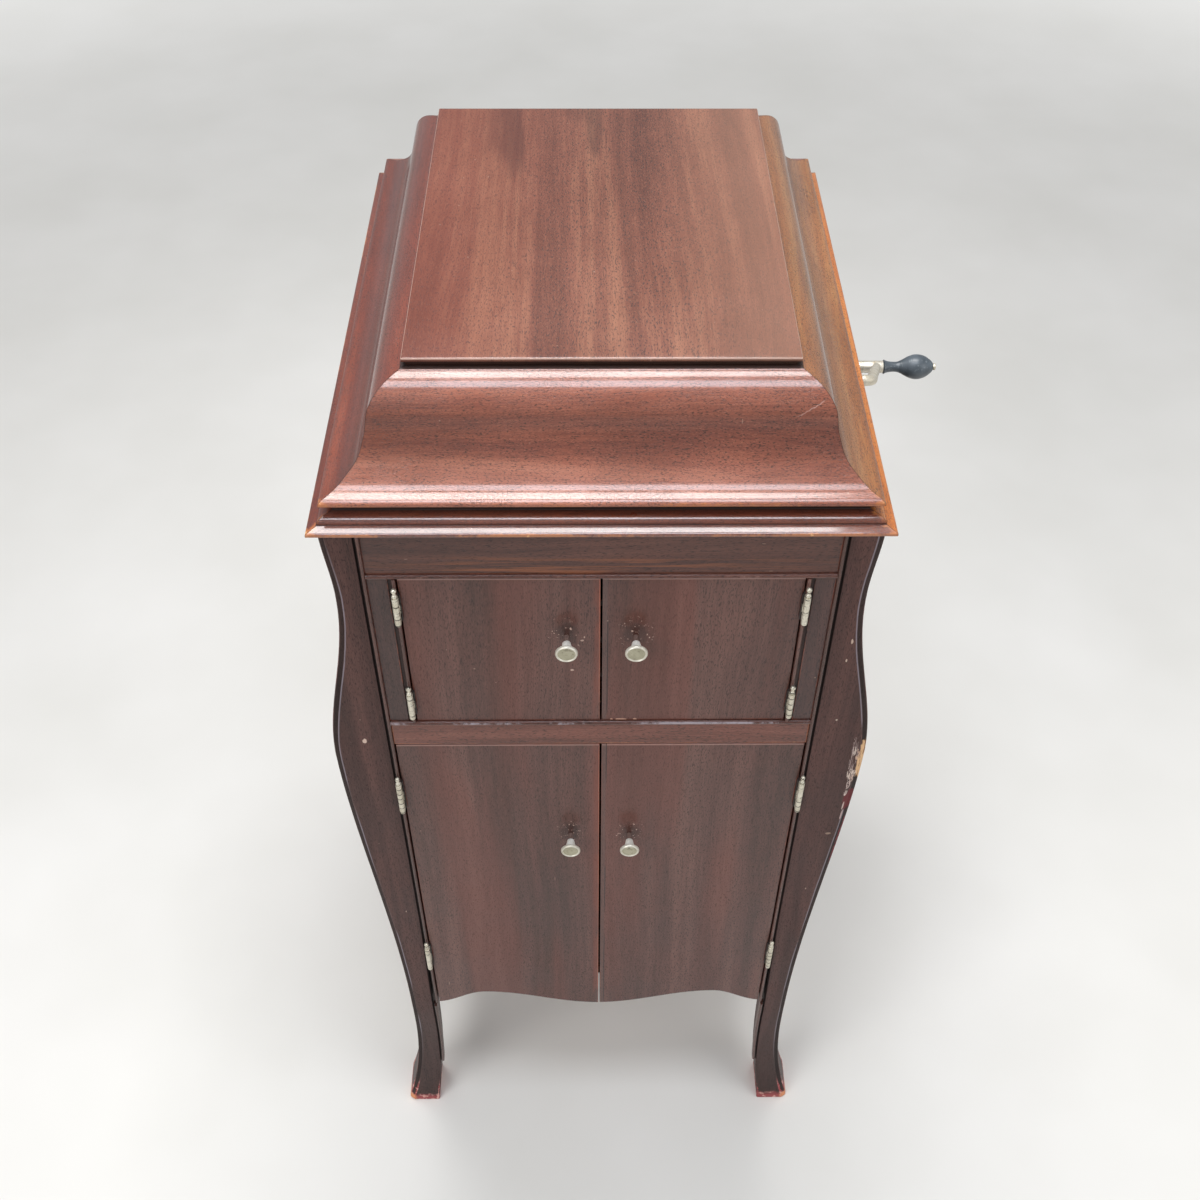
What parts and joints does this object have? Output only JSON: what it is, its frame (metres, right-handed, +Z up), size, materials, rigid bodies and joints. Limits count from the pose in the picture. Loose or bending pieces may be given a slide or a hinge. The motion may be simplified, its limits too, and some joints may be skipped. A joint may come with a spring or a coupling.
{
  "type": "gramophone cabinet",
  "caption": "Upright wind-up gramophone cabinet on four serpentine posts, with an ogee lid over the turntable, doors over the horn and doors over record shelves.",
  "frame": {"origin": "middle of the cabinet's footprint on the floor", "axes": "+Z up, -Y towards the doors, +X towards the side with the crank"},
  "size_m": [0.5658, 0.5313, 1.067],
  "materials": {
    "case_wood": "satin",
    "lid_wood": "satin",
    "inner_wood": "satin",
    "nickel": "satin",
    "iron": "matt",
    "steel": "satin",
    "brass": "satin",
    "felt": "matt",
    "handle": "gloss"
  },
  "bodies": {
    "case": {"post_front_left": "case_wood", "post_front_right": "case_wood", "post_rear_left": "case_wood", "post_rear_right": "case_wood", "side_panel_left": "case_wood", "side_panel_right": "case_wood", "back_panel": "inner_wood", "bottom_board": "inner_wood", "middle_board": "inner_wood", "top_rail": "case_wood", "middle_rail": "case_wood", "hinge_stiles": "case_wood", "cock_beads": "case_wood", "top_moulding": "case_wood", "record_shelves": "inner_wood", "cleats": "inner_wood", "door_catches": "brass", "horn": "inner_wood", "horn_slats": "case_wood", "horn_throat": "iron", "motor_board": "case_wood", "lid_hinge_seats": "nickel", "lid_stay_bracket": "nickel", "case_hinge_leaves": "nickel", "tone_arm_bracket": "nickel", "needle_cups": "nickel", "motor_frame": "iron", "crank_escutcheon": "nickel"},
    "lid": {"lid_frame": "lid_wood", "lid_panel": "lid_wood", "lid_hinge_leaves": "nickel", "lid_stay_lug": "nickel"},
    "lid_stay": {"lid_stay": "nickel"},
    "upper_left_leaf": {"upper_door_left": "case_wood", "upper_hinge_leaves_left": "nickel", "upper_knob_left": "nickel"},
    "upper_right_leaf": {"upper_door_right": "case_wood", "upper_hinge_leaves_right": "nickel", "upper_knob_right": "nickel"},
    "lower_left_leaf": {"lower_door_left": "case_wood", "lower_hinge_leaves_left": "nickel", "lower_knob_left": "nickel"},
    "lower_right_leaf": {"lower_door_right": "case_wood", "lower_hinge_leaves_right": "nickel", "lower_knob_right": "nickel"},
    "turntable": {"turntable": "nickel", "turntable_felt": "felt", "turntable_spindle": "steel"},
    "tone_arm": {"tone_arm": "nickel"},
    "soundbox": {"soundbox": "nickel"},
    "speed_regulator": {"speed_regulator": "nickel"},
    "brake_lever": {"brake_lever": "nickel"},
    "spring_barrel": {"spring_barrel": "brass", "mainspring": "steel"},
    "winding_wheel": {"winding_wheel": "steel"},
    "train_wheel": {"train_wheel": "brass"},
    "governor": {"governor": "brass"},
    "crank": {"winding_shaft": "steel", "crank": "nickel"},
    "crank_handle": {"crank_handle": "handle"}
  },
  "joints": [
    {"name": "lid_hinge", "type": "hinge", "parent": "case", "child": "lid", "pos_m": [0, 0.2525, 0.98075], "axis": [-1, 0, 0], "range_deg": [0, 62]},
    {"name": "lid_stay_fold", "type": "hinge", "parent": "lid", "child": "lid_stay", "pos_m": [-0.16437, 0.048, 0.9965], "axis": [1, 0, 0], "range_deg": [0, 146]},
    {"name": "upper_left_door", "type": "hinge", "parent": "case", "child": "upper_left_leaf", "pos_m": [-0.1584, -0.2562, 0.84], "axis": [0, 0, -1], "range_deg": [0, 170]},
    {"name": "upper_right_door", "type": "hinge", "parent": "case", "child": "upper_right_leaf", "pos_m": [0.1584, -0.2562, 0.84], "axis": [0, 0, 1], "range_deg": [0, 170]},
    {"name": "lower_left_door", "type": "hinge", "parent": "case", "child": "lower_left_leaf", "pos_m": [-0.1805, -0.2562, 0.48], "axis": [0, 0, -1], "range_deg": [0, 170]},
    {"name": "lower_right_door", "type": "hinge", "parent": "case", "child": "lower_right_leaf", "pos_m": [0.1805, -0.2562, 0.48], "axis": [0, 0, 1], "range_deg": [0, 170]},
    {"name": "crank_turn", "type": "hinge", "parent": "case", "child": "crank", "pos_m": [0.199, 0.012, 0.896], "axis": [1, 0, 0], "continuous": true},
    {"name": "crank_handle_spin", "type": "hinge", "parent": "crank", "child": "crank_handle", "pos_m": [0.3, 0.11657, 0.83317], "axis": [1, 0, 0], "continuous": true},
    {"name": "winding_wheel_turn", "type": "hinge", "parent": "case", "child": "winding_wheel", "pos_m": [0.082, -0.0244, 0.9], "axis": [0, 0, 1], "continuous": true},
    {"name": "turntable_spin", "type": "hinge", "parent": "case", "child": "turntable", "pos_m": [-0.004, -0.037, 0.97], "axis": [0, 0, 1], "continuous": true},
    {"name": "spring_barrel_turn", "type": "hinge", "parent": "case", "child": "spring_barrel", "pos_m": [0.082, -0.0244, 0.918], "axis": [0, 0, 1], "continuous": true},
    {"name": "train_wheel_turn", "type": "hinge", "parent": "case", "child": "train_wheel", "pos_m": [0.01563, -0.00215, 0.9], "axis": [0, 0, 1], "continuous": true},
    {"name": "governor_spin", "type": "hinge", "parent": "case", "child": "governor", "pos_m": [0, -0.0674, 0.902], "axis": [1, 0, 0], "continuous": true},
    {"name": "tone_arm_swing", "type": "hinge", "parent": "case", "child": "tone_arm", "pos_m": [0.092, 0.166, 1.011], "axis": [0, 0, 1], "range_deg": [-25, 0]},
    {"name": "soundbox_turn", "type": "hinge", "parent": "tone_arm", "child": "soundbox", "pos_m": [0.092, 0.166, 1.011], "axis": [0.05, -0.9987, 0], "range_deg": [0, 170]},
    {"name": "speed_regulator_turn", "type": "hinge", "parent": "case", "child": "speed_regulator", "pos_m": [0.146, -0.124, 0.958], "axis": [0, 0, 1], "range_deg": [-60, 60]},
    {"name": "brake_turn", "type": "hinge", "parent": "case", "child": "brake_lever", "pos_m": [-0.146, 0.12, 0.958], "axis": [0, 0, 1], "range_deg": [0, 20]}
  ],
  "couplings": [
    {"joint": "lid_stay_fold", "follows": "lid_hinge", "ratio": 2.3471},
    {"joint": "winding_wheel_turn", "follows": "crank_turn", "ratio": 0.035714},
    {"joint": "spring_barrel_turn", "follows": "turntable_spin", "ratio": 0.041667},
    {"joint": "train_wheel_turn", "follows": "turntable_spin", "ratio": -0.25},
    {"joint": "governor_spin", "follows": "turntable_spin", "ratio": 12}
  ]
}
